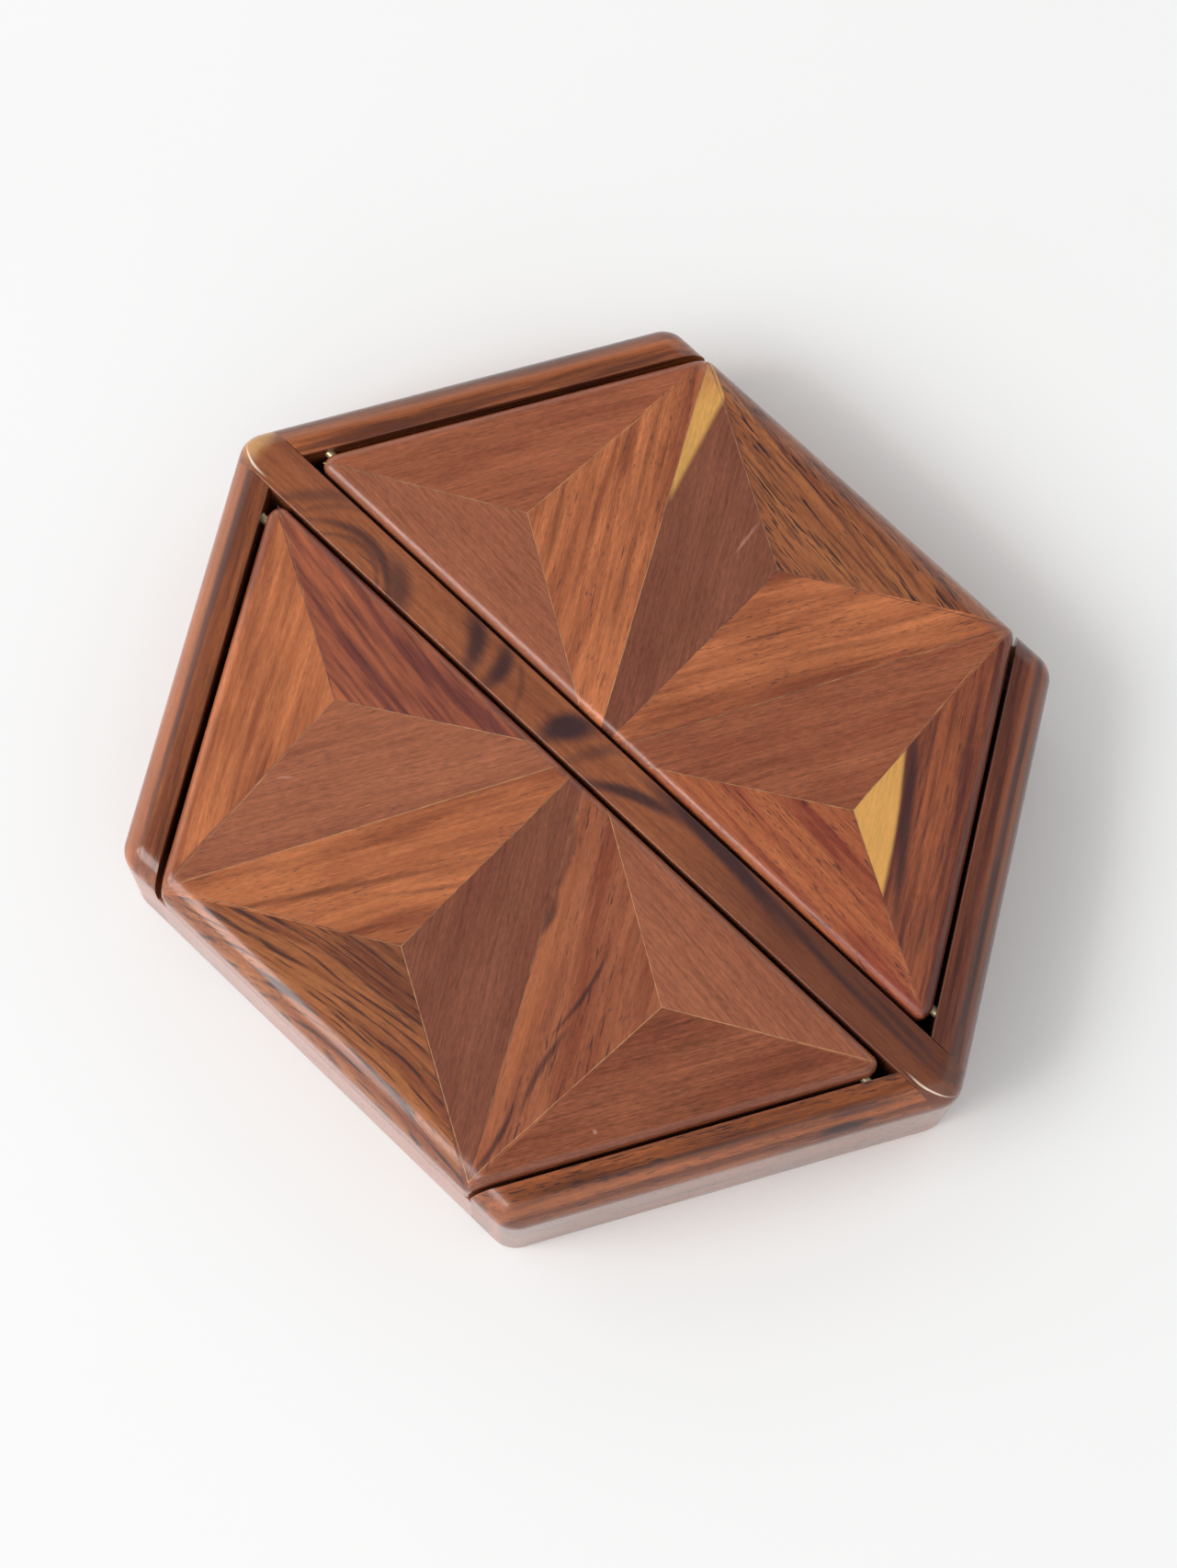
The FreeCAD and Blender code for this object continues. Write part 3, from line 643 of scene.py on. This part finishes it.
def lid_height(x, y, shift):
    """Height of a lid's top face: flat, and rolled down along each edge. The lid's middle is at x = shift.

    At a distance d inside an edge with round-over r, the height is top - r + sqrt(r^2 - (r - d)^2)
    while d < r; where two edges meet, the lower one counts."""
    box = bpy.context.scene.box_settings
    edges = ((HALF_DEPTH - y, box.front_round), (y - LID_INNER, box.edge_round),
             ((wall_x(y, LID_INSET) - np.abs(x - shift)) * COS30, box.edge_round))
    height = np.full(np.shape(x), LID_TOP)
    for inside, radius in edges:
        short = radius - np.clip(inside, 0, radius)
        height = np.minimum(height, LID_TOP - radius + np.sqrt(radius ** 2 - short ** 2))
    return height


def ribbon(start, end, width, proud, turn):
    """A filled seam: points and faces of a shallow crowned strip along a straight line on the lid.

    p(s, t) = start + s (end - start) + t * w(s) * side, with s from 0 to 1 and t from -1 to 1, lifted by
    proud * (1 - 2 t^2) above the face: proud along its middle, and sunk by as much along its two edges.
    w(s) = width / 2 * (0.75 + 0.25 sin(37 s) cos(91 s)) narrows it here and there. turn is 1 for lid 1,
    and -1 turns it half round, for lid 2."""
    steps, strips = 90, 4
    s = np.linspace(0, 1, steps)[:, None]
    t = np.linspace(-1, 1, strips + 1)[None, :]
    start, end = np.array(start), np.array(end)
    run = end - start
    side = np.array([-run[1], run[0]]) / np.linalg.norm(run)
    half = width / 2 * (0.75 + 0.25 * np.sin(37 * s) * np.cos(91 * s))
    x = start[0] + s * run[0] + t * half * side[0]
    y = start[1] + s * run[1] + t * half * side[1]
    z = lid_height(x, y, turn * LID_SHIFT) + proud * (1 - 2 * t ** 2)
    points = np.stack([turn * x, turn * y, z], -1).reshape(-1, 3)
    return points, grid_faces(steps, strips + 1)


# ---------------------------------------------------------------- operators

class BOX_OT_facets(bpy.types.Operator):
    """Give every inlaid facet of both lids its own cut of wood"""
    bl_idname = "inlaid_box.facets"
    bl_label = "Inlaid facets"

    def execute(self, context):
        for lid, facets in FACETS.items():
            for place, (wood, grain) in facets.items():
                node = f"lid_{lid}_facet_{place}"
                dress(node, wood_material(node, wood, grain, middle(node), lid * 1.7 + place))
        return {"FINISHED"}


class BOX_OT_cores(bpy.types.Operator):
    """Plain boards under the inlay, the front staves and the base panel"""
    bl_idname = "inlaid_box.cores"
    bl_label = "Cores, staves and base"

    def execute(self, context):
        for lid in (1, 2):
            node = f"lid_{lid}_core"
            core = Wood("warm_rail", stripe=6, pore=0.5, coat=0.15)
            dress(node, wood_material(node, core, ALONG, middle(node), lid + 21))
            node = f"front_stave_{lid}"
            stave = Wood("warm_rail", stripe=4, depth=0.8, dash=0.4, dash_width=0.5, pore=0.6, coat=0.4)
            dress(node, wood_material(node, stave, ALONG, middle(node), lid + 31))
        panel = Wood("tan", stripe=9, pore=0.5)
        dress("base_panel", wood_material("base_panel", panel, ALONG, middle("base_panel"), 41))
        return {"FINISHED"}


class BOX_OT_divider(bpy.types.Operator):
    """Figured bar between the lids"""
    bl_idname = "inlaid_box.divider"
    bl_label = "Divider"

    def execute(self, context):
        dress("divider_bar", wood_material("divider_bar", DIVIDER, ALONG, middle("divider_bar"), 51))
        return {"FINISHED"}


class BOX_OT_rails(bpy.types.Operator):
    """Four side rails, grain along each"""
    bl_idname = "inlaid_box.rails"
    bl_label = "Side rails"

    def execute(self, context):
        for number, (wood, grain) in RAILS.items():
            node = f"side_rail_{number}"
            dress(node, wood_material(node, wood, grain, middle(node), 60 + number))
        return {"FINISHED"}


class BOX_OT_pins(bpy.types.Operator):
    """Dull brass on the four pivot pins"""
    bl_idname = "inlaid_box.pins"
    bl_label = "Pivot pins"

    def execute(self, context):
        brass = brass_material()
        for number in (1, 2, 3, 4):
            dress(f"hinge_pin_{number}", brass)
        return {"FINISHED"}


class BOX_OT_seams(bpy.types.Operator):
    """Filled seams between the facets, one piece for each lid"""
    bl_idname = "inlaid_box.seams"
    bl_label = "Seam filler"

    def execute(self, context):
        box = context.scene.box_settings
        material = filler_material()
        # the seams stop short of the lid's inner edge, its front edge and its acute corners
        inner = LID_INNER + 0.3 * MM
        front = HALF_DEPTH - 2.0 * MM
        corner = np.array([wall_x(HALF_DEPTH, LID_INSET), HALF_DEPTH]) * (front / HALF_DEPTH)
        tip = np.array([wall_x(LID_INNER, LID_INSET) - 3.8 * MM, LID_INNER + 1.2 * MM])
        proud = 0.03 * MM
        node = np.array([box.node_x, box.node_y])
        centre_node = np.array([0.0, box.middle_node_y])

        def to_centre(point):
            """Where the line from a point to the box's centre crosses the lid's inner edge."""
            return point * (inner / point[1])

        # start, end, and how much filler shows on lid 1 and on lid 2, which is the same lid turned round
        flip = np.array([-1.0, 1.0])
        seams = [(centre_node, to_centre(centre_node), 0.1, 0.35), (centre_node, corner, 0.15, 0.45),
                 (centre_node, corner * flip, 0.6, 0.9)]
        near = ((node, to_centre(node), 0.7, 0.75), (node, corner, 0.6, 0.6), (node, tip, 0.2, 0.3),
                (corner, to_centre(corner), 0.4, 0.75))
        far = ((node, to_centre(node), 0.9, 0.9), (node, corner, 0.65, 0.9), (node, tip, 0.5, 0.8),
               (corner, to_centre(corner), 0.75, 0.2))
        seams += near
        seams += [(start * flip, end * flip, *amounts) for start, end, *amounts in far]
        for lid, turn in ((1, 1.0), (2, -1.0)):
            points, faces, filled, count = [], [], [], 0
            for start, end, *amounts in seams:
                line, strip = ribbon(start, end, box.filler_width, proud, turn)
                points.append(line)
                faces.append(strip + count)
                filled.append(np.full(len(line), amounts[lid - 1]))
                count += len(line)
            piece = mesh_object(f"seam_filler_{lid}", np.concatenate(points), np.concatenate(faces), material)
            amount = piece.data.attributes.new("filled", "FLOAT", "POINT")
            amount.data.foreach_set("value", np.concatenate(filled))
            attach(piece, f"lid_{lid}")
        return {"FINISHED"}


class BOX_OT_liners(bpy.types.Operator):
    """Felt laid on the floor of both compartments"""
    bl_idname = "inlaid_box.liners"
    bl_label = "Felt liners"

    def execute(self, context):
        material = felt_material()
        for number, turn in ((1, 1.0), (2, -1.0)):
            node = f"floor_liner_{number}"
            low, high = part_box(node)
            near, far = (low[1], high[1]) if turn > 0 else (-high[1], -low[1])
            x, y, z, faces = liner_top(high[0], near, far, high[2])
            top = np.stack([turn * x, turn * y, z], -1).reshape(-1, 3)
            piece = mesh_object(f"felt_{number}", top, faces, material)
            # thinner than the CAD sheet, so that the ripple's low places stay above the base panel
            wall = piece.modifiers.new("felt thickness", "SOLIDIFY")
            wall.thickness = (high[2] - low[2]) * 0.85
            wall.offset = -1.0
            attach(piece, "box_body")
            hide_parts(node)
        return {"FINISHED"}


class BOX_OT_stage(bpy.types.Operator):
    """White floor, window light, room light and camera"""
    bl_idname = "inlaid_box.stage"
    bl_label = "Stage"

    def execute(self, context):
        scene = context.scene
        stage = scene.box_stage
        reach = 3.0
        corners = reach * np.array([(-1.0, -1.0, 0.0), (1.0, -1.0, 0.0), (1.0, 1.0, 0.0), (-1.0, 1.0, 0.0)])
        # white paint rolled on a board: no shine, and slightly duller places
        material = new_material("painted_board")
        tree = material.node_tree
        place = add(tree, "TexCoord", {}, "Object")
        worn = add(tree, "TexNoise", {"Vector": place, "Scale": 9.0, "Detail": 4.0}, "Fac")
        tone = add(tree, "Mix", {0: worn, 6: rgba(stage.floor), 7: rgba(stage.floor_worn)}, 2,
                   data_type="RGBA")
        shader = add(tree, "BsdfPrincipled", {"Base Color": tone, "Roughness": 0.7, "IOR": 1.45})
        add(tree, "OutputMaterial", {"Surface": shader})
        floor = mesh_object("floor", corners, np.array([(0, 1, 2, 3)]), material, smooth=False)

        # an even room, a little brighter on the window's side, with a dark place overhead where the
        # lids' polished tops would mirror it to the camera
        dark_edge, dark_core, dark_level = math.radians(44), math.radians(18), 0.2
        bright_side, least, most = math.radians(-136), 0.68, 1.28
        world = bpy.data.worlds.new("room")
        world.use_nodes = True
        tree = world.node_tree
        tree.nodes.clear()
        ray = add(tree, "TexCoord", {}, "Generated")
        above = direction(stage.azimuth + math.pi, stage.elevation)
        near = add(tree, "VectorMath", {0: ray, 1: above}, "Value", operation="DOT_PRODUCT")
        level = add(tree, "MapRange", {"Value": near, "From Min": math.cos(dark_edge),
                                       "From Max": math.cos(dark_core), "To Min": stage.room,
                                       "To Max": stage.room * dark_level}, interpolation_type="SMOOTHSTEP")
        side = add(tree, "VectorMath", {0: ray, 1: direction(bright_side, 0.0)}, "Value",
                   operation="DOT_PRODUCT")
        side = add(tree, "MapRange", {"Value": side, "From Min": -1.0, "To Min": least, "To Max": most})
        level = add(tree, "Math", {0: level, 1: side}, operation="MULTIPLY")
        background = add(tree, "Background", {"Color": (1.0, 1.0, 1.0, 1.0), "Strength": level})
        add(tree, "OutputWorld", {"Surface": background})
        scene.world = world

        lamp = bpy.data.lights.new("window", "AREA")
        lamp.shape = "RECTANGLE"
        lamp.size = 1.2
        lamp.size_y = 1.1
        lamp.energy = stage.window
        window = bpy.data.objects.new("window", lamp)
        window_distance = 2.0
        at = window_distance * direction(stage.window_azimuth, stage.window_elevation)
        window.matrix_world = Matrix.Translation(at) @ at.to_track_quat("Z", "Y").to_matrix().to_4x4()
        scene.collection.objects.link(window)

        lens = bpy.data.cameras.new("camera")
        lens.lens = stage.lens
        lens.sensor_width = 36.0
        lens.clip_start = 0.01
        lens.clip_end = 20.0
        camera = bpy.data.objects.new("camera", lens)
        back = direction(stage.azimuth, stage.elevation)
        right = Vector((-math.sin(stage.azimuth), math.cos(stage.azimuth), 0))
        up = back.cross(right)
        turned_right = right * math.cos(stage.roll) + up * math.sin(stage.roll)
        turned_up = up * math.cos(stage.roll) - right * math.sin(stage.roll)
        turn = Matrix((turned_right, turned_up, back)).transposed().to_4x4()
        target = Vector((stage.target_x, stage.target_y, stage.target_z))
        camera.matrix_world = Matrix.Translation(target + back * stage.distance) @ turn
        scene.collection.objects.link(camera)
        scene.camera = camera

        # tones: straight in the wood's range, then a shoulder that keeps the board pale beside the box
        view = scene.view_settings
        view.view_transform = "Standard"
        view.use_curve_mapping = True
        view.curve_mapping.white_level = (WHITE, WHITE, WHITE)
        curve = view.curve_mapping.curves[3]
        curve.points[1].location = (1.0, 0.99)
        for light, shown in TONES:
            point = curve.points.new(light / WHITE, shown)
        for point in list(curve.points)[:2]:
            point.handle_type = "VECTOR"
        view.curve_mapping.update()
        return {"FINISHED"}


class BOX_PT_panel(bpy.types.Panel):
    """Lists the steps that finish the box"""
    bl_label = "Inlaid box"
    bl_idname = "BOX_PT_panel"
    bl_space_type = "VIEW_3D"
    bl_region_type = "UI"
    bl_category = "Inlaid box"

    def draw(self, context):
        for step in STEPS:
            self.layout.operator(step.bl_idname)


STEPS = (BOX_OT_stage, BOX_OT_facets, BOX_OT_cores, BOX_OT_divider, BOX_OT_rails, BOX_OT_pins,
         BOX_OT_seams, BOX_OT_liners)
SETTINGS = (("box_woods", WoodColours), ("box_settings", BoxSettings), ("box_stage", StageSettings))


def register():
    for name, group in SETTINGS:
        bpy.utils.register_class(group)
        setattr(bpy.types.Scene, name, PointerProperty(type=group))
    for step in (*STEPS, BOX_PT_panel):
        bpy.utils.register_class(step)


def unregister():
    for step in reversed((*STEPS, BOX_PT_panel)):
        bpy.utils.unregister_class(step)
    for name, group in reversed(SETTINGS):
        delattr(bpy.types.Scene, name)
        bpy.utils.unregister_class(group)


def main():
    register()
    for step in STEPS:
        family, action = step.bl_idname.split(".")
        getattr(getattr(bpy.ops, family), action)()


if __name__ == "__main__":
    main()
